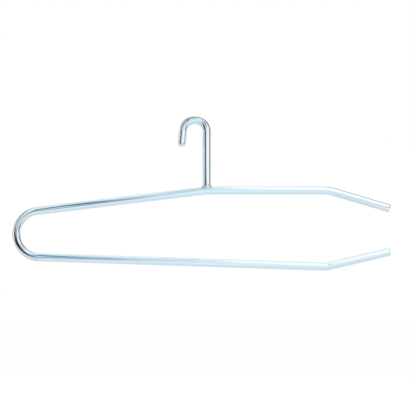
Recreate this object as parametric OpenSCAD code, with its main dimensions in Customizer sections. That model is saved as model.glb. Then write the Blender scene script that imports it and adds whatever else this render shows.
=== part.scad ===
// Open-ended trouser hanger, bent from round steel bar and chrome plated.
// Units are millimetres. The hanger hangs in the XZ plane: X runs along its width with the
// open end at +X, Y is its thickness and Z is up. The origin is the rail seat, which is the
// highest point of the inside of the hook.

/* [Bar] */
// Diameter of the round bar that the frame and the hook are bent from
rod_d = 8; // [5:0.5:10]
// Rounding of the cut edge at the frame's two free ends
end_round = 0.8; // [0.3:0.1:2]
// Loss of diameter where the bar is stretched round a bend
bend_thinning = 0.06; // [0.04:0.01:0.2]

/* [Hook] */
// Clear width inside the hook, between its leg and its shank
hook_gap = 16; // [12:0.5:36]
// Angle that the hook's bend turns through
hook_turn = 175; // [150:1:185]
// Length of the hook's free leg past the bend, tip included
hook_leg = 15.5; // [8:0.5:30]
// Diameter of the small flat that is left on the hook's domed tip
tip_flat_d = 1.6; // [0.6:0.1:4]
// Height of the rail seat above the top of the upper arm
seat_h = 62.5; // [45:0.5:120]

/* [Frame] */
// Distance from the shank's axis to the outside of the end bend
left_reach = 194.5; // [140:0.5:240]
// Distance from the shank's axis to the middle of each free end
right_reach = 183; // [160:0.5:230]
// Centre-line radius of the end bend that joins the two arms
end_bend_r = 23.2; // [15:0.2:35]
// Slope of the upper arm, up from the end bend to the hook
upper_slope = 6.9; // [3:0.1:10]
// Slope of the lower arm, down from the end bend
lower_slope = 1.9; // [0.5:0.1:4]
// Centre-line radius of the slight bend under the hook
crown_bend_r = 60; // [30:1:120]

/* [Free ends] */
// Distance from the shank's axis to the corner of the upper arm
upper_corner_x = 122; // [90:0.5:140]
// Distance from the shank's axis to the corner of the lower arm
lower_corner_x = 119.3; // [90:0.5:140]
// Angle that the upper free end drops from level
upper_tip_drop = 16.6; // [8:0.1:20]
// Angle that the lower free end rises from level
lower_tip_rise = 13.3; // [6:0.1:18]
// Centre-line radius of the upper arm's corner
upper_corner_r = 45; // [15:1:80]
// Centre-line radius of the lower arm's corner
lower_corner_r = 25; // [15:1:80]

/* [Weld] */
// Depth that the shank's square end is pressed into the upper arm
weld_sink = 1; // [0.4:0.1:2]
// Reach of the weld bead past the side of the shank
weld_leg = 1.8; // [1:0.1:3]
// Thickness of the weld bead at its thin edges
weld_rim = 0.15; // [0.05:0.05:0.4]

/* [Hidden] */
$fn = 96;
// Length that a cutting shape stands clear of the faces it cuts through
over = 1;
// Length that a straight runs on at full diameter before the bend's own section takes over
run_on = 0.1;

rod_r = rod_d / 2;
hook_bend_r = hook_gap / 2 + rod_r;

// The frame's centre line is worked out in its own plane, as [along, up] from the point on
// the upper arm's axis that lies under the shank.
end_centre_x = rod_r + end_bend_r - left_reach;
end_centre = [end_centre_x, end_centre_x * tan(upper_slope) - end_bend_r / cos(upper_slope)];
upper_start = end_centre + end_bend_r * [-sin(upper_slope), cos(upper_slope)];
lower_start = end_centre - end_bend_r * [sin(lower_slope), cos(lower_slope)];
lower_corner_z = lower_start[1] - (lower_corner_x - lower_start[0]) * tan(lower_slope);
lower_end_z = lower_corner_z + (right_reach - lower_corner_x) * tan(lower_tip_rise);

// Length of bar that a bend takes off each of the straights that meet at its corner
function set_back(bend_r, turn) = bend_r * tan(turn / 2);

lower_turn = lower_tip_rise + lower_slope;
end_turn = 180 - lower_slope - upper_slope;
lower_set_back = set_back(lower_corner_r, lower_turn);
crown_set_back = set_back(crown_bend_r, upper_slope);
upper_set_back = set_back(upper_corner_r, upper_tip_drop);

lower_tip_len = (right_reach - lower_corner_x) / cos(lower_tip_rise) - lower_set_back;
lower_arm_len = (lower_corner_x - lower_start[0]) / cos(lower_slope) - lower_set_back;
upper_left_len = norm(upper_start) - crown_set_back;
upper_right_len = upper_corner_x - crown_set_back - upper_set_back;
upper_tip_len = (right_reach - upper_corner_x) / cos(upper_tip_drop) - upper_set_back;

// A bar is bent in steps of [straight length, bend radius, turn], and a turn to the right is
// negative. The frame starts at the tip of its lower arm, heading back to the end bend.
frame_start = [right_reach, lower_end_z];
frame_heading = 180 + lower_tip_rise;
frame_steps = [
    [lower_tip_len, lower_corner_r, -lower_turn],
    [lower_arm_len, end_bend_r, -end_turn],
    [upper_left_len, crown_bend_r, -upper_slope],
    [upper_right_len, upper_corner_r, -upper_tip_drop],
    [upper_tip_len, 0, 0]
];

// The hook starts at the weld, heading up its shank.
hook_steps = [
    [seat_h + weld_sink - hook_gap / 2, hook_bend_r, hook_turn],
    [hook_leg, 0, 0]
];

// Puts what is drawn in the bar's own plane upright, with the foot of the shank in its place
module stand_up() {
    translate([hook_bend_r, 0, -seat_h - rod_r]) rotate([90, 0, 0]) children();
}

// Corner that a rounding of radius e takes off a square edge at the origin
module edge_cut(e) {
    difference() {
        translate([-e, -over]) square([e + over, e + over]);
        translate([-e, e]) circle(r = e);
        translate([-e - over, 0]) square([over, e + over]);
    }
}

// Straight bar along +X. An end is a free one with its edge rounded, or runs on into a bend.
module straight_bar(length, start_e, end_e) {
    before = start_e > 0 ? 0 : run_on;
    after = end_e > 0 ? 0 : run_on;
    translate([-before, 0, 0]) rotate([0, 90, 0]) rotate_extrude() difference() {
        square([rod_r, before + length + after]);
        if (start_e > 0) translate([rod_r, 0]) edge_cut(start_e);
        if (end_e > 0) translate([rod_r, length + before]) mirror([0, 1]) edge_cut(end_e);
    }
}

// Bend that starts at the origin heading along +X
module bend(bend_r, turn) {
    side = sign(turn);
    translate([0, side * bend_r, 0]) rotate([0, 0, -90 * side]) rotate_extrude(angle = turn)
        translate([bend_r, 0]) circle(d = rod_d - bend_thinning);
}

// Whole bar, bent step by step from the origin along +X
module bent_bar(steps, start_e, end_e, i = 0) {
    length = steps[i][0];
    bend_r = steps[i][1];
    turn = steps[i][2];
    last = i == len(steps) - 1;
    straight_bar(length, i == 0 ? start_e : 0, last ? end_e : 0);
    if (!last) translate([length, 0, 0]) {
        bend(bend_r, turn);
        translate([0, sign(turn) * bend_r, 0]) rotate([0, 0, turn])
            translate([0, -sign(turn) * bend_r, 0]) bent_bar(steps, start_e, end_e, i + 1);
    }
}

// The frame's bar, rounded at both ends
module frame_bar() {
    stand_up() translate(frame_start) rotate([0, 0, frame_heading])
        bent_bar(frame_steps, end_round, end_round);
}

// The hook's bar, from inside the upper arm to its domed tip
module hook_bar() {
    stand_up() translate([0, rod_r - weld_sink]) rotate([0, 0, 90])
        bent_bar(hook_steps, 0, (rod_d - tip_flat_d) / 2);
}

// Half-section of the weld bead: a hollow fillet above the top of the arm, and a round edge
// below it
module bead_section() {
    difference() {
        square([rod_r + weld_leg, weld_leg]);
        translate([rod_r + weld_leg, weld_leg]) circle(r = weld_leg - weld_rim);
    }
    translate([0, -weld_leg]) square([rod_r, weld_leg]);
    intersection() {
        translate([rod_r, 0]) circle(r = weld_leg);
        translate([0, -weld_leg]) square([rod_r + weld_leg, weld_leg]);
    }
}

// One bar for both arms: lower arm, end bend, upper arm and the two free ends
module frame_rod() {
    color("gainsboro") frame_bar();
}

// Shank, hook bend and leg, with the shank's end shaped by the arm it is pressed into
module hook_rod() {
    color("silver") difference() {
        hook_bar();
        frame_bar();
    }
}

// Bead round the foot of the shank, which keeps to its own reach over the round of the arm
module hook_weld() {
    color("darkgray") difference() {
        intersection() {
            translate([hook_bend_r, 0, -seat_h]) rotate_extrude() bead_section();
            translate([hook_bend_r, 0, -seat_h - rod_r]) rotate([0, 90, 0])
                cylinder(r = rod_r + weld_leg, h = 4 * rod_d, center = true);
        }
        hook_bar();
        frame_bar();
    }
}

frame_rod();
hook_rod();
hook_weld();
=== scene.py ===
import math

import bmesh
import bpy
from mathutils import Euler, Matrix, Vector


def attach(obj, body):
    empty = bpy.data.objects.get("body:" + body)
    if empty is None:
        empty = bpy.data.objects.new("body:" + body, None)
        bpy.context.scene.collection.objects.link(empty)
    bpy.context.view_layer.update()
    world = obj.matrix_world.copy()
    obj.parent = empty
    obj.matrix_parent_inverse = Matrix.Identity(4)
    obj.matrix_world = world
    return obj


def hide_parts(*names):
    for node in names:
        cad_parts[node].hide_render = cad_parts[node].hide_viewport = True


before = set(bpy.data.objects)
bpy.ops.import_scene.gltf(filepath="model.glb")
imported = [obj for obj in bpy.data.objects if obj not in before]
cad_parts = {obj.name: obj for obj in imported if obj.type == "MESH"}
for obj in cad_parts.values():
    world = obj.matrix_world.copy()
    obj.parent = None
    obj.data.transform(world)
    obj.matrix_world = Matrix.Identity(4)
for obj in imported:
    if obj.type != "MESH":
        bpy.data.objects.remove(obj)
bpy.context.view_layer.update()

# The frame's bar: one 8 mm round of drawn steel, polished, bent four times in
# one plane and then nickel and chrome plated. It is cut square at both ends,
# and the edge of the cut is tumbled round before plating.
MM = 0.001
BAR_R = 4.0  # half of the bar's diameter, in mm as all sizes here
BEND_THINNING = 0.03  # radius lost where the bar is stretched round a bend
CUT_ROUND = 0.8  # rounding of the cut edge
CUT_CROWN = 0.05  # the tumbled end face is not quite flat
BAR_SIDES = 96
STRAIGHT_RING, LEAST_STRAIGHT = 4.0, 2  # distance between rings on a straight, least number
BEND_RING, LEAST_BEND = 2.0, 4  # degrees between rings in a bend, least number
THINNING_EASE = 8  # the thinning comes and goes over one part in this many of a bend
END_CLEARANCE = 0.4  # between the last ring of an end and the bar's own next ring
MERGE_WITHIN = 0.001  # points closer than this become one where an end closes

SHANK_X = 12.0  # the shank's axis, and the point where both bars meet
CROWN_Z = -62.5  # the upper arm's highest line, under the hook
ARM_Z = CROWN_Z - BAR_R

RIGHT_REACH = 183.0
UPPER_CORNER_X, UPPER_CORNER_R, UPPER_DROP = 122.0, 45.0, 16.6
LOWER_CORNER_X, LOWER_CORNER_R, LOWER_RISE = 119.3, 25.0, 13.3
END_CENTRE, END_BEND_R = (-167.3, -43.61377), 23.2
UPPER_SLOPE, LOWER_SLOPE, CROWN_BEND_R = 6.9, 1.9, 60.0


def sin(degrees):
    return math.sin(math.radians(degrees))


def cos(degrees):
    return math.cos(math.radians(degrees))


def tan(degrees):
    return math.tan(math.radians(degrees))


def set_back(bend_r, turn):
    """Length of bar that a bend takes off each straight at its corner."""
    return bend_r * tan(turn / 2)


def bar_stations(start, heading, steps):
    """Bends a bar step by step, as [straight, bend radius, turn], from start.
    Gives [along, up, length so far, radius] for each ring of its skin."""
    x, z, s, rings = start[0], start[1], 0.0, []
    for straight, bend_r, turn in steps:
        count = max(LEAST_STRAIGHT, round(straight / STRAIGHT_RING))
        for i in range(count):
            d = straight * i / count
            rings.append([x + d * cos(heading), z + d * sin(heading), s + d, BAR_R])
        x, z, s = x + straight * cos(heading), z + straight * sin(heading), s + straight
        if not turn:
            rings.append([x, z, s, BAR_R])
            continue
        side = math.copysign(1, turn)
        cx, cz = x - side * bend_r * sin(heading), z + side * bend_r * cos(heading)
        count = max(LEAST_BEND, round(abs(turn) / BEND_RING))
        for i in range(count):
            h = heading + turn * i / count
            ease = min(1, THINNING_EASE * i / count, THINNING_EASE * (1 - i / count))
            thin = BEND_THINNING * ease
            rings.append([cx + side * bend_r * sin(h), cz - side * bend_r * cos(h),
                          s + math.radians(abs(turn)) * bend_r * i / count, BAR_R - thin])
        heading += turn
        s += math.radians(abs(turn)) * bend_r
        x, z = cx + side * bend_r * sin(heading), cz - side * bend_r * cos(heading)
    return rings


def end_profile(rounding, crown, rings_on_face=4, rings_on_edge=10):
    """[depth from the end, radius] down a bar's end: face, then rounded edge."""
    flat = BAR_R - rounding
    face = [[crown * (i / rings_on_face) ** 2, flat * i / rings_on_face]
            for i in range(rings_on_face)]
    edge = [[crown + rounding * (1 - cos(90 * i / rings_on_edge)),
             flat + rounding * sin(90 * i / rings_on_edge)]
            for i in range(rings_on_edge + 1)]
    return face + edge


def with_ends(rings, first, last):
    """Puts the two end profiles in place of the rings that lie within them."""
    total = rings[-1][2]
    (x0, z0), (x1, z1) = rings[0][:2], rings[-1][:2]
    a = Vector((rings[1][0] - x0, rings[1][1] - z0)).normalized()
    b = Vector((rings[-2][0] - x1, rings[-2][1] - z1)).normalized()
    head = [[x0 + a[0] * d, z0 + a[1] * d, d, r] for d, r in first]
    tail = [[x1 + b[0] * d, z1 + b[1] * d, total - d, r] for d, r in reversed(last)]
    keep = [p for p in rings
            if head[-1][2] + END_CLEARANCE < p[2] < tail[0][2] - END_CLEARANCE]
    return head + keep + tail


def node(tree, kind, inputs=(), **settings):
    """Adds a node, with its settings, its inputs' values and its links."""
    made = tree.nodes.new(kind)
    for name, value in settings.items():
        setattr(made, name, value)
    for key, value in dict(inputs).items():
        if isinstance(value, bpy.types.NodeSocket):
            tree.links.new(value, made.inputs[key])
        else:
            made.inputs[key].default_value = value
    return made


def linear(hex_colour):
    """An sRGB hex colour as linear RGBA."""
    parts = [int(hex_colour[i:i + 2], 16) / 255 for i in (1, 3, 5)]
    return [c / 12.92 if c <= 0.04045 else ((c + 0.055) / 1.055) ** 2.4 for c in parts] + [1]


def bar_tree():
    """Geometry Nodes: sweeps a round section along a bar's centre line. Each
    point's radius is the share of the full section, down to none at the ends.
    It keeps every point's place on the bar as it was before bending."""
    tree = bpy.data.node_groups.new("bent_bar", "GeometryNodeTree")
    face = tree.interface
    face.new_socket("Centre Line", in_out="INPUT", socket_type="NodeSocketGeometry")
    for name, kind in (("Bar Radius", "NodeSocketFloat"), ("Sides", "NodeSocketInt"),
                       ("Weld Distance", "NodeSocketFloat"), ("Plating", "NodeSocketMaterial")):
        face.new_socket(name, in_out="INPUT", socket_type=kind)
    face.new_socket("Bar", in_out="OUTPUT", socket_type="NodeSocketGeometry")
    given = node(tree, "NodeGroupInput").outputs
    along = node(tree, "GeometryNodeCaptureAttribute", {"Geometry": given["Centre Line"]})
    along.capture_items.new("FLOAT", "Length")
    tree.links.new(node(tree, "GeometryNodeSplineParameter").outputs["Length"],
                   along.inputs["Length"])
    circle = node(tree, "GeometryNodeCurvePrimitiveCircle",
                  {"Resolution": given["Sides"], "Radius": given["Bar Radius"]})
    around = node(tree, "GeometryNodeCaptureAttribute", {"Geometry": circle.outputs["Curve"]})
    around.capture_items.new("VECTOR", "Place")
    tree.links.new(node(tree, "GeometryNodeInputPosition").outputs["Position"],
                   around.inputs["Place"])
    swept = node(tree, "GeometryNodeCurveToMesh",
                 {"Curve": along.outputs["Geometry"], "Profile Curve": around.outputs["Geometry"],
                  "Scale": node(tree, "GeometryNodeInputRadius").outputs["Radius"]})
    place = node(tree, "ShaderNodeSeparateXYZ", {"Vector": around.outputs["Place"]}).outputs
    unbent = node(tree, "ShaderNodeCombineXYZ",
                  {"X": along.outputs["Length"], "Y": place["X"], "Z": place["Y"]})
    stored = node(tree, "GeometryNodeStoreNamedAttribute",
                  {"Geometry": swept.outputs["Mesh"], "Name": "unbent",
                   "Value": unbent.outputs["Vector"]},
                  data_type="FLOAT_VECTOR", domain="POINT")
    closed = node(tree, "GeometryNodeMergeByDistance",
                  {"Geometry": stored.outputs["Geometry"], "Distance": given["Weld Distance"]})
    smooth = node(tree, "GeometryNodeSetShadeSmooth", {"Geometry": closed.outputs["Geometry"]})
    real = node(tree, "GeometryNodeRealizeInstances", {"Geometry": smooth.outputs["Geometry"]})
    plated = node(tree, "GeometryNodeSetMaterial",
                  {"Geometry": real.outputs["Geometry"], "Material": given["Plating"]})
    node(tree, "NodeGroupOutput", {"Bar": plated.outputs["Geometry"]})
    return tree


def face_outwards(mesh):
    """Turns every face of a closed mesh outwards."""
    work = bmesh.new()
    work.from_mesh(mesh)
    bmesh.ops.recalc_face_normals(work, faces=work.faces)
    if work.calc_volume(signed=True) < 0:
        bmesh.ops.reverse_faces(work, faces=work.faces)
    work.to_mesh(mesh)
    work.free()


def swept_bar(name, tree, stations, plating):
    """A bar's finished mesh, swept by the tree along its stations."""
    line = bpy.data.curves.new(name + "_line", "CURVE")
    line.dimensions = "3D"
    spline = line.splines.new("POLY")
    spline.points.add(len(stations) - 1)
    for point, (x, z, _, radius) in zip(spline.points, stations):
        point.co = ((SHANK_X + x) * MM, 0, (ARM_Z + z) * MM, 1)
        point.radius = radius / BAR_R
    guide = bpy.data.objects.new(name + "_line", line)
    bpy.context.scene.collection.objects.link(guide)
    sweep = guide.modifiers.new("sweep", "NODES")
    sweep.node_group = tree
    values = {"Bar Radius": BAR_R * MM, "Sides": BAR_SIDES,
              "Weld Distance": MERGE_WITHIN * MM, "Plating": plating}
    for socket in tree.interface.items_tree:
        if socket.in_out == "INPUT" and socket.name in values:
            sweep[socket.identifier] = values[socket.name]
    bpy.context.view_layer.update()
    graph = bpy.context.evaluated_depsgraph_get()
    mesh = bpy.data.meshes.new_from_object(guide.evaluated_get(graph), depsgraph=graph)
    mesh.name = name
    bpy.data.objects.remove(guide)
    bpy.data.curves.remove(line)
    face_outwards(mesh)
    bar = bpy.data.objects.new(name, mesh)
    bpy.context.scene.collection.objects.link(bar)
    return bar


def bright_chrome():
    """Decorative chrome over bright nickel on a polished bar: a near mirror, a
    little cold in colour. The lines of the bar's drawing and polishing show
    through as a faint haze along it, and the bar is not perfectly true, so
    that the reflections in it waver."""
    material = bpy.data.materials.new("bright_chrome_plate")
    material.use_nodes = True
    tree = material.node_tree
    tree.nodes.clear()
    place = node(tree, "ShaderNodeAttribute", attribute_name="unbent").outputs["Vector"]
    # Polishing lines are finer than 0.1 mm; they are drawn 0.5 mm wide and 60 mm long to show.
    lines_at = node(tree, "ShaderNodeMapping",
                    {"Vector": place, "Scale": (1 / 0.060, 1 / 0.0005, 1 / 0.0005)})
    lines = node(tree, "ShaderNodeTexNoise",
                 {"Vector": lines_at.outputs["Vector"], "Scale": 1, "Detail": 2, "Roughness": 0.6})
    # Handling leaves soft patches of haze about 20 mm long.
    haze_at = node(tree, "ShaderNodeMapping",
                   {"Vector": place, "Scale": (1 / 0.020, 1 / 0.008, 1 / 0.008)})
    haze = node(tree, "ShaderNodeTexNoise",
                {"Vector": haze_at.outputs["Vector"], "Scale": 1, "Detail": 3})
    both = node(tree, "ShaderNodeMath",
                {0: lines.outputs["Fac"], 1: haze.outputs["Fac"]}, operation="MULTIPLY")
    rough = node(tree, "ShaderNodeMapRange",
                 {"Value": both.outputs["Value"], "From Min": 0.12, "From Max": 0.42,
                  "To Min": 0.015, "To Max": 0.045})
    tint = node(tree, "ShaderNodeMix",
                {"Factor": haze.outputs["Fac"], "A": linear("#f1f4f6"), "B": linear("#e6ecf1")},
                data_type="RGBA")
    # The bar wavers by a few hundredths of a millimetre over 15 to 30 mm.
    wave_at = node(tree, "ShaderNodeMapping",
                   {"Vector": place, "Scale": (1 / 0.022, 1 / 0.009, 1 / 0.009)})
    wave = node(tree, "ShaderNodeTexNoise",
                {"Vector": wave_at.outputs["Vector"], "Scale": 1, "Detail": 1})
    uneven = node(tree, "ShaderNodeBump",
                  {"Height": wave.outputs["Fac"], "Strength": 1, "Distance": 0.00004})
    metal = node(tree, "ShaderNodeBsdfPrincipled",
                 {"Base Color": tint.outputs["Result"], "Metallic": 1,
                  "Roughness": rough.outputs["Result"], "Normal": uneven.outputs["Normal"]})
    node(tree, "ShaderNodeOutputMaterial", {"Surface": metal.outputs["BSDF"]})
    return material


chrome_plate = bright_chrome()
bent_bar = bar_tree()

upper_start = [END_CENTRE[0] - END_BEND_R * sin(UPPER_SLOPE),
               END_CENTRE[1] + END_BEND_R * cos(UPPER_SLOPE)]
lower_start = [END_CENTRE[0] - END_BEND_R * sin(LOWER_SLOPE),
               END_CENTRE[1] - END_BEND_R * cos(LOWER_SLOPE)]
lower_corner_z = lower_start[1] - (LOWER_CORNER_X - lower_start[0]) * tan(LOWER_SLOPE)
lower_end = [RIGHT_REACH, lower_corner_z + (RIGHT_REACH - LOWER_CORNER_X) * tan(LOWER_RISE)]
lower_turn = LOWER_RISE + LOWER_SLOPE
lower_back = set_back(LOWER_CORNER_R, lower_turn)
crown_back = set_back(CROWN_BEND_R, UPPER_SLOPE)
upper_back = set_back(UPPER_CORNER_R, UPPER_DROP)
frame_steps = [
    [(RIGHT_REACH - LOWER_CORNER_X) / cos(LOWER_RISE) - lower_back, LOWER_CORNER_R, -lower_turn],
    [(LOWER_CORNER_X - lower_start[0]) / cos(LOWER_SLOPE) - lower_back, END_BEND_R,
     LOWER_SLOPE + UPPER_SLOPE - 180],
    [math.hypot(*upper_start) - crown_back, CROWN_BEND_R, -UPPER_SLOPE],
    [UPPER_CORNER_X - crown_back - upper_back, UPPER_CORNER_R, -UPPER_DROP],
    [(RIGHT_REACH - UPPER_CORNER_X) / cos(UPPER_DROP) - upper_back, 0, 0],
]
cut_end = end_profile(CUT_ROUND, CUT_CROWN)
frame_rings = with_ends(bar_stations(lower_end, 180 + LOWER_RISE, frame_steps), cut_end, cut_end)
frame_bar = swept_bar("frame_bar", bent_bar, frame_rings, chrome_plate)
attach(frame_bar, "root")
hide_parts("frame_rod")

# The hook: a second length of the same bar, bent over 175 degrees to a small
# crook, with its free tip turned to a dome. Its square-cut foot is pressed
# 1 mm into the crown of the upper arm when it is welded.
SEAT_H = 62.5  # rail seat above the arm's crown
HOOK_BEND_R, HOOK_TURN, HOOK_LEG = 12.0, 175.0, 15.5
TIP_FLAT_R = 0.8  # half of the small flat that is left on the dome
TIP_FACE_RINGS, TIP_EDGE_RINGS = 2, 16
FOOT_SINK = 1.0
FOOT_BAND = 0.3  # height above the crown up to which the arm shapes the foot

hook_steps = [[SEAT_H + FOOT_SINK - (HOOK_BEND_R - BAR_R), HOOK_BEND_R, HOOK_TURN],
              [HOOK_LEG, 0, 0]]
square_foot = [[0.0, 0.0], [0.01, 1.0], [0.02, 2.0], [0.03, 3.0], [0.04, 3.98], [0.06, BAR_R]]
domed_tip = end_profile(BAR_R - TIP_FLAT_R, CUT_CROWN, TIP_FACE_RINGS, TIP_EDGE_RINGS)
hook_rings = with_ends(bar_stations([0, BAR_R - FOOT_SINK], 90, hook_steps),
                       square_foot, domed_tip)
hook_bar = swept_bar("hook_bar", bent_bar, hook_rings, chrome_plate)
for v in hook_bar.data.vertices:  # the arm shapes the foot that is pressed into it
    if v.co.z < (CROWN_Z + FOOT_BAND) * MM and abs(v.co.y) < BAR_R * MM:
        v.co.z = max(v.co.z, ARM_Z * MM + math.sqrt((BAR_R * MM) ** 2 - v.co.y ** 2))
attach(hook_bar, "root")
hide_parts("hook_rod")

# The weld: a small fillet run once round the shank's foot. It is left as it
# was laid and plated over with the rest, so its ripples show, and its chrome
# is a good deal duller than the polished bar's.
BEAD_LEG = 1.75  # reach of the bead up the shank and along the arm
BEAD_FLANK_Y = 3.72  # how far round the arm's side its lower edge comes
BEAD_STEPS, BEAD_SECTION = 144, 12
BEAD_RIPPLES, RIPPLE_H, RIPPLE_RISE = 26, 0.05, 0.6  # the rise tilts the ripples upwards
CLOSE_AT, CLOSE_SPREAD, CLOSE_SWELL = 40, 9, 0.06  # degrees, degrees, share of the leg
LEG_WAVES, LEG_PHASE, LEG_WAVER = 3, 50, 0.04  # unevenness of a bead that is laid by hand
EDGE_WAVES, EDGE_WAVER = 5, 0.01
FLANK_TOP_DROP, FLANK_CORNER_DROP = 0.45, 1.2  # share of the leg, and mm, over the flanks
BELLY_OUT, FLANK_BELLY_OUT = 0.45, 0.75  # fullness of the bead, and what the flanks add
BELLY_UP, FLANK_BELLY_DOWN = 0.40, 0.2
BEAD_INSET, LOW_INSET = 0.35, 0.15  # how far its hidden side lies in the bars
CORNER_INSET, CORNER_SHARE = 0.3, 1.5


def weld_bead(name, plating):
    """The bead's closed skin: one section for each step round the shank."""
    work = bmesh.new()
    sections = []
    for k in range(BEAD_STEPS):
        turn = 360 * k / BEAD_STEPS
        side = sin(turn) ** 2  # 0 along the arm, 1 on the arm's flank
        close = math.exp(-((turn - CLOSE_AT) / CLOSE_SPREAD) ** 2)  # the run's end over its start
        leg = BEAD_LEG * (1 + LEG_WAVER * sin(LEG_WAVES * turn + LEG_PHASE) + CLOSE_SWELL * close)
        x, y = BAR_R * cos(turn), BAR_R * sin(turn)
        top = Vector((x, y, CROWN_Z + leg * (1 - FLANK_TOP_DROP * side)))
        corner = Vector((x, y, CROWN_Z - FLANK_CORNER_DROP * side))
        low_x = (BAR_R + leg) * cos(turn)
        low_y = BEAD_FLANK_Y * sin(turn) * (1 + EDGE_WAVER * sin(EDGE_WAVES * turn))
        low = Vector((low_x, low_y, ARM_Z + math.sqrt(BAR_R ** 2 - low_y ** 2)))
        out = Vector((cos(turn), sin(turn), 0))
        belly = (corner + out * (BELLY_OUT + FLANK_BELLY_OUT * side)
                 + Vector((0, 0, BELLY_UP - FLANK_BELLY_DOWN * side)))
        ripple = RIPPLE_H * (abs(sin(turn * BEAD_RIPPLES / 2)) - 0.5)
        section = []
        for i in range(BEAD_SECTION + 1):
            t = i / BEAD_SECTION
            p = top * (1 - t) ** 2 + belly * 2 * t * (1 - t) + low * t ** 2
            p += (out + Vector((0, 0, RIPPLE_RISE))).normalized() * ripple * 4 * t * (1 - t)
            section.append(p)
        inward = -out * BEAD_INSET
        section.append(Vector((low.x, low.y, low.z - LOW_INSET)) + inward)
        inner_z = low.z * 0.5 + corner.z * 0.5 - CORNER_INSET
        section.append(Vector((corner.x, corner.y, inner_z)) + inward * CORNER_SHARE)
        section.append(top + inward)
        sections.append([work.verts.new(p * MM + Vector((SHANK_X * MM, 0, 0))) for p in section])
    size = len(sections[0])
    for k, here in enumerate(sections):
        after = sections[(k + 1) % BEAD_STEPS]
        for i in range(size):
            j = (i + 1) % size
            work.faces.new((here[i], here[j], after[j], after[i])).smooth = True
    mesh = bpy.data.meshes.new(name)
    work.to_mesh(mesh)
    work.free()
    face_outwards(mesh)
    mesh.materials.append(plating)
    bead = bpy.data.objects.new(name, mesh)
    bpy.context.scene.collection.objects.link(bead)
    return bead


def weld_chrome():
    """Chrome over an undressed weld: the same plate on a surface that was not
    polished, so it is brighter in patches than sharp, with a fine pitting."""
    material = bpy.data.materials.new("chrome_plated_weld")
    material.use_nodes = True
    tree = material.node_tree
    tree.nodes.clear()
    place = node(tree, "ShaderNodeTexCoord").outputs["Object"]
    # Pits and scale under the plate are about 0.3 mm across.
    pits = node(tree, "ShaderNodeTexNoise", {"Vector": place, "Scale": 1 / 0.0003, "Detail": 3})
    patches = node(tree, "ShaderNodeTexNoise", {"Vector": place, "Scale": 1 / 0.0020})
    rough = node(tree, "ShaderNodeMapRange",
                 {"Value": patches.outputs["Fac"], "To Min": 0.38, "To Max": 0.52})
    tint = node(tree, "ShaderNodeMix",
                {"Factor": pits.outputs["Fac"], "A": linear("#f6f8fa"), "B": linear("#eaeef2")},
                data_type="RGBA")
    uneven = node(tree, "ShaderNodeBump",
                  {"Height": pits.outputs["Fac"], "Strength": 0.6, "Distance": 0.00004})
    metal = node(tree, "ShaderNodeBsdfPrincipled",
                 {"Base Color": tint.outputs["Result"], "Metallic": 1,
                  "Roughness": rough.outputs["Result"], "Normal": uneven.outputs["Normal"]})
    node(tree, "ShaderNodeOutputMaterial", {"Surface": metal.outputs["BSDF"]})
    return material


weld = weld_bead("weld_bead", weld_chrome())
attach(weld, "root")
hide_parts("hook_weld")

# The floor: plain white paper well below the hanging object. From here on
# sizes and places are in metres.
FLOOR_Z, FLOOR_R = -0.345, 3.0
FADE_FROM, FADE_TO = 0.35, 0.95  # shares of its radius over which it thins out
FLOOR_LIFT = 0.09  # light that only the camera sees in it


def studio_floor():
    """A pale disc that looks as white as the room and thins out into it at its
    rim, with the object's shadow kept."""
    work = bmesh.new()
    bmesh.ops.create_circle(work, cap_ends=True, segments=96, radius=FLOOR_R)
    bmesh.ops.translate(work, verts=work.verts, vec=(0, 0, FLOOR_Z))
    mesh = bpy.data.meshes.new("floor")
    work.to_mesh(mesh)
    work.free()
    floor = bpy.data.objects.new("floor", mesh)
    bpy.context.scene.collection.objects.link(floor)
    material = bpy.data.materials.new("matt_white_paper")
    material.use_nodes = True
    tree = material.node_tree
    tree.nodes.clear()
    place = node(tree, "ShaderNodeTexCoord").outputs["Object"]
    flat = node(tree, "ShaderNodeVectorMath", {0: place, 1: (1, 1, 0)}, operation="MULTIPLY")
    away = node(tree, "ShaderNodeVectorMath", {0: flat.outputs["Vector"]}, operation="LENGTH")
    rim = node(tree, "ShaderNodeMapRange",
               {"Value": away.outputs["Value"], "From Min": FADE_FROM * FLOOR_R,
                "From Max": FADE_TO * FLOOR_R}, interpolation_type="SMOOTHSTEP")
    paper = node(tree, "ShaderNodeBsdfDiffuse", {"Color": linear("#fafafa")})
    clear = node(tree, "ShaderNodeBsdfTransparent")
    seen = node(tree, "ShaderNodeMath",
                {0: node(tree, "ShaderNodeLightPath").outputs["Is Camera Ray"], 1: FLOOR_LIFT},
                operation="MULTIPLY")
    lift = node(tree, "ShaderNodeEmission", {"Strength": seen.outputs[0]})
    white = node(tree, "ShaderNodeAddShader", {0: paper.outputs["BSDF"], 1: lift.outputs[0]})
    mix = node(tree, "ShaderNodeMixShader",
               {0: rim.outputs["Result"], 1: white.outputs[0], 2: clear.outputs["BSDF"]})
    node(tree, "ShaderNodeOutputMaterial", {"Surface": mix.outputs["Shader"]})
    mesh.materials.append(material)
    floor.visible_glossy = False  # the metal mirrors the tent instead


studio_floor()

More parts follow.
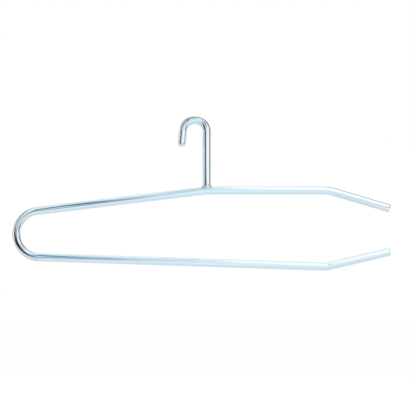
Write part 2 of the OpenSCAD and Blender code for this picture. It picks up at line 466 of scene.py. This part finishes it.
# What the metal mirrors: a round tent of pale cloth far off, screens near the
# object, and a small dark hood above the hook. Only mirrored rays see them.
# Each panel is given as the object sees it: angle from the camera's side, bearing round that
# (0 to the right, 90 up), half length outwards, half width, share of soft edge, turn, and
# colour. Later panels lie over earlier ones.
# These numbers are a known fault of this script. A row marked "fitted" is the rounded result
# of a program that fitted it to the photograph's colours by least squares, and "fitted, then
# changed" is such a row with later changes. The other rows were given one by one.
SURROUND_CENTRE = Vector((0.011, 0, -0.082))
TENT_R, TENT_CLOTH, TENT_LIGHT = 8.0, "#f8ffff", 1.2
TENT_PANELS = [
    (76, 321, 53, 102, 0.5, 20, "#ccdbe3"),  # cool cloth below right; fitted
    (137, 210, 102, 41, 0.45, -13, "#ccd3dc"),  # grey cloth behind, low left; fitted
    (72, 152, 63, 25, 1.3, -37, "#989fa2"),  # grey cloth upper left; fitted, then changed
    (63, 340, 26, 8, 0.6, 34, "#36383e"),  # dark strip right; fitted, then changed
    (42, 22, 32, 18, 0.1, 29, "#f8f5f4"),  # white card right; fitted, then changed
    (99, 27, 20, 40, 0.5, -14, "#42444a"),  # dark cloth at the right
    (90, 26, 8, 8, 0.6, 0, "#b8bcc0"),  # pale gap in it, which the lower free end mirrors
    (134, 89, 37, 10.5, 0.35, 0, "#e9f5f7"),  # pale strip behind and above; fitted
    (112, 73, 9, 9, 0.5, 0, "#8c9698"),  # grey patch for the line on the upper free end
    (33, 43, 14, 9, 0.9, 8, "#03040a"),  # black patch upper right; fitted, then changed
    (42, 180, 15, 8, 0.4, 0, "#030306"),  # black strip left, the shank's dark line
    (34, 205, 36, 11, 0.7, -14, "#000000"),  # black strip lower left; fitted, then changed
    (53, 253, 63, 6, 0.8, 0, "#bed4e8"),  # blue strip below; fitted, then changed
    (44, 105, 15, 4.5, 0.5, 0, "#084858"),  # dark strip for the line on the lower free end
    (152, 90, 6, 60, 0.4, 0, "#50565c"),  # dark strip behind, at the top
    (150, 270, 9, 50, 0.4, 0, "#8d9ba8"),  # grey strip behind, low
    (155, 180, 16, 6, 0.4, 0, "#3a3c40"),  # dark strip behind, on the left
    (155, 5, 16, 6, 0.4, 0, "#46484c"),  # dark strip behind, on the right
]
SCREEN_R = 0.54  # fitted
SCREENS = [
    (31, 112, 60, 17, 1.1, -7, "#bcd4de"),  # pale blue above; fitted, then changed
    (25, 274, 26, 11.7, 1.7, -10, "#d4eef8"),  # paler blue below; fitted, then changed
    (48, 119, 30, 4.8, 0.9, -9, "#64808f"),  # dark line along the arms; fitted, then changed
    (11, 38, 19, 5, 0.4, -38, "#f0f0f0"),  # white card ahead, which keeps the shank neutral
    (28, 191.5, 21, 4.7, 0.6, 15, "#020204"),  # black card left, the end bend's black line
    (36, 144, 22, 4.6, 0.8, -54, "#64808c"),  # grey strip, the same line over the bend's top
    (29, 123, 13, 4, 0.8, -43, "#8ca2ac"),  # grey strip where that line thins out
    (57, 186.5, 16, 5, 0.6, -16, "#040406"),  # black card far left
]

HOOD_CENTRE, HOOD_R, HOOD_LOWEST = Vector((0, 0, -0.008)), 0.065, 0.020
HOOD_PANELS = [
    (76, 95, 13, 48, 0.7, -20, "#606874"),  # dark card, the line over the top of the hook
]


def surround(name, centre, radius, cloth, panels, lowest=None):
    """A sphere round the object that only mirrored rays see: panels on cloth,
    or with nothing between them. Where lowest is given, what lies below that
    height is cut off, so that the sphere stays clear of the object."""
    work = bmesh.new()
    bmesh.ops.create_uvsphere(work, u_segments=64, v_segments=32, radius=radius)
    bmesh.ops.translate(work, verts=work.verts, vec=centre)
    if lowest is not None:
        everything = list(work.verts) + list(work.edges) + list(work.faces)
        bmesh.ops.bisect_plane(work, geom=everything, plane_co=(0, 0, lowest),
                               plane_no=(0, 0, 1), clear_inner=True)
    mesh = bpy.data.meshes.new(name)
    work.to_mesh(mesh)
    work.free()
    sphere = bpy.data.objects.new(name, mesh)
    bpy.context.scene.collection.objects.link(sphere)
    material = bpy.data.materials.new(name)
    material.use_nodes = True
    material.cycles.emission_sampling = "NONE"
    tree = material.node_tree
    tree.nodes.clear()
    place = node(tree, "ShaderNodeTexCoord").outputs["Object"]
    centred = node(tree, "ShaderNodeVectorMath", {0: place, 1: centre},
                   operation="SUBTRACT")
    wall = node(tree, "ShaderNodeVectorMath", {0: centred.outputs["Vector"]},
                operation="NORMALIZE").outputs["Vector"]
    colour, bare = linear(cloth or panels[0][-1]), 1.0
    for angle, bearing, long, wide, soft, turn, hex_colour in panels:
        middle = Vector((sin(angle) * cos(bearing), -cos(angle), sin(angle) * sin(bearing)))
        outwards = Vector((cos(angle) * cos(bearing), sin(angle), cos(angle) * sin(bearing)))
        lengthways = outwards * cos(turn) + middle.cross(outwards) * sin(turn)
        parts = [node(tree, "ShaderNodeVectorMath", {0: wall, 1: axis},
                      operation="DOT_PRODUCT").outputs["Value"]
                 for axis in (middle, lengthways, middle.cross(lengthways))]
        length = node(tree, "ShaderNodeMath", {0: parts[1], 1: parts[0]}, operation="ARCTAN2")
        width = node(tree, "ShaderNodeMath", {0: parts[2]}, operation="ARCSINE")
        point = node(tree, "ShaderNodeCombineXYZ", {"X": length.outputs[0], "Y": width.outputs[0]})
        scaled = node(tree, "ShaderNodeVectorMath",
                      {0: point.outputs["Vector"],
                       1: (1 / math.radians(long), 1 / math.radians(wide), 0)},
                      operation="MULTIPLY")
        reach = node(tree, "ShaderNodeVectorMath", {0: scaled.outputs["Vector"]},
                     operation="LENGTH")
        cover = node(tree, "ShaderNodeMapRange",
                     {"Value": reach.outputs["Value"], "From Min": 1 + soft / 2,
                      "From Max": 1 - soft / 2}, interpolation_type="SMOOTHSTEP")
        uncovered = node(tree, "ShaderNodeMath", {0: 1, 1: cover.outputs["Result"]},
                         operation="SUBTRACT")
        bare = node(tree, "ShaderNodeMath", {0: bare, 1: uncovered.outputs[0]},
                    operation="MULTIPLY").outputs[0]
        colour = node(tree, "ShaderNodeMix",
                      {"Factor": cover.outputs["Result"], "A": colour, "B": linear(hex_colour)},
                      data_type="RGBA").outputs["Result"]
    shown = node(tree, "ShaderNodeEmission", {"Color": colour, "Strength": TENT_LIGHT})
    if not cloth:
        shown = node(tree, "ShaderNodeMixShader",
                     {0: bare, 1: shown.outputs[0],
                      2: node(tree, "ShaderNodeBsdfTransparent").outputs[0]})
    node(tree, "ShaderNodeOutputMaterial", {"Surface": shown.outputs[0]})
    mesh.materials.append(material)
    for rays in ("camera", "diffuse", "transmission", "volume_scatter", "shadow"):
        setattr(sphere, "visible_" + rays, False)


surround("light_tent", SURROUND_CENTRE, TENT_R, TENT_CLOTH, TENT_PANELS)
surround("near_screens", SURROUND_CENTRE, SCREEN_R, None, SCREENS)
surround("hood", HOOD_CENTRE, HOOD_R, None, HOOD_PANELS, HOOD_LOWEST)

# The light: a plain white room all round, and one soft square lamp overhead,
# which the metal doesn't mirror.
ROOM_LIGHT = 0.90
LAMP_AIM, LAMP_TOWARD = Vector((0.01, 0, -0.08)), Vector((0.15, -0.25, 1)).normalized()
LAMP_DISTANCE, LAMP_SIZE, LAMP_RADIANCE = 1.6, 0.9, 1.6


def white_room():
    """The world: white to look at, and a plain, slightly softer light on things."""
    world = bpy.data.worlds.new("white_room")
    bpy.context.scene.world = world
    world.use_nodes = True
    tree = world.node_tree
    tree.nodes.clear()
    path = node(tree, "ShaderNodeLightPath").outputs
    seen = node(tree, "ShaderNodeMath", {0: path["Is Camera Ray"], 1: path["Is Transmission Ray"]},
                operation="MAXIMUM")
    shown = node(tree, "ShaderNodeMath", {0: seen.outputs[0], 1: path["Is Glossy Ray"]},
                 operation="MAXIMUM")
    level = node(tree, "ShaderNodeMapRange", {"Value": shown.outputs[0], "To Min": ROOM_LIGHT})
    light = node(tree, "ShaderNodeBackground",
                 {"Color": (1, 1, 1, 1), "Strength": level.outputs["Result"]})
    node(tree, "ShaderNodeOutputWorld", {"Surface": light.outputs["Background"]})


white_room()
lamp = bpy.data.lights.new("overhead_softbox", "AREA")
lamp.size = LAMP_SIZE
lamp.energy = LAMP_RADIANCE * math.pi * LAMP_SIZE ** 2
overhead = bpy.data.objects.new("overhead_softbox", lamp)
bpy.context.scene.collection.objects.link(overhead)
overhead.location = LAMP_AIM + LAMP_TOWARD * LAMP_DISTANCE
overhead.rotation_euler = LAMP_TOWARD.to_track_quat("Z", "Y").to_euler()
overhead.visible_glossy = False

# The camera: square on to the hanger, as in the photograph, and far enough
# away that its sides look parallel. These sizes are in mm again.
VIEW_CENTRE = (11.1, -82.1)  # what lies in the middle of the picture
VIEW_WIDTH, VIEW_DISTANCE = 412.0, 2000.0
SENSOR_WIDTH = 36
CLIP_NEAR, CLIP_FAR = 50, 50000
camera = bpy.data.objects.new("camera", bpy.data.cameras.new("camera"))
bpy.context.scene.collection.objects.link(camera)
camera.data.sensor_width = SENSOR_WIDTH
camera.data.lens = SENSOR_WIDTH * VIEW_DISTANCE / VIEW_WIDTH
camera.location = (VIEW_CENTRE[0] * MM, -VIEW_DISTANCE * MM, VIEW_CENTRE[1] * MM)
camera.rotation_euler = Euler((math.pi / 2, 0, 0))
camera.data.clip_start, camera.data.clip_end = CLIP_NEAR * MM, CLIP_FAR * MM
bpy.context.scene.camera = camera
bpy.context.scene.view_settings.view_transform = "Standard"
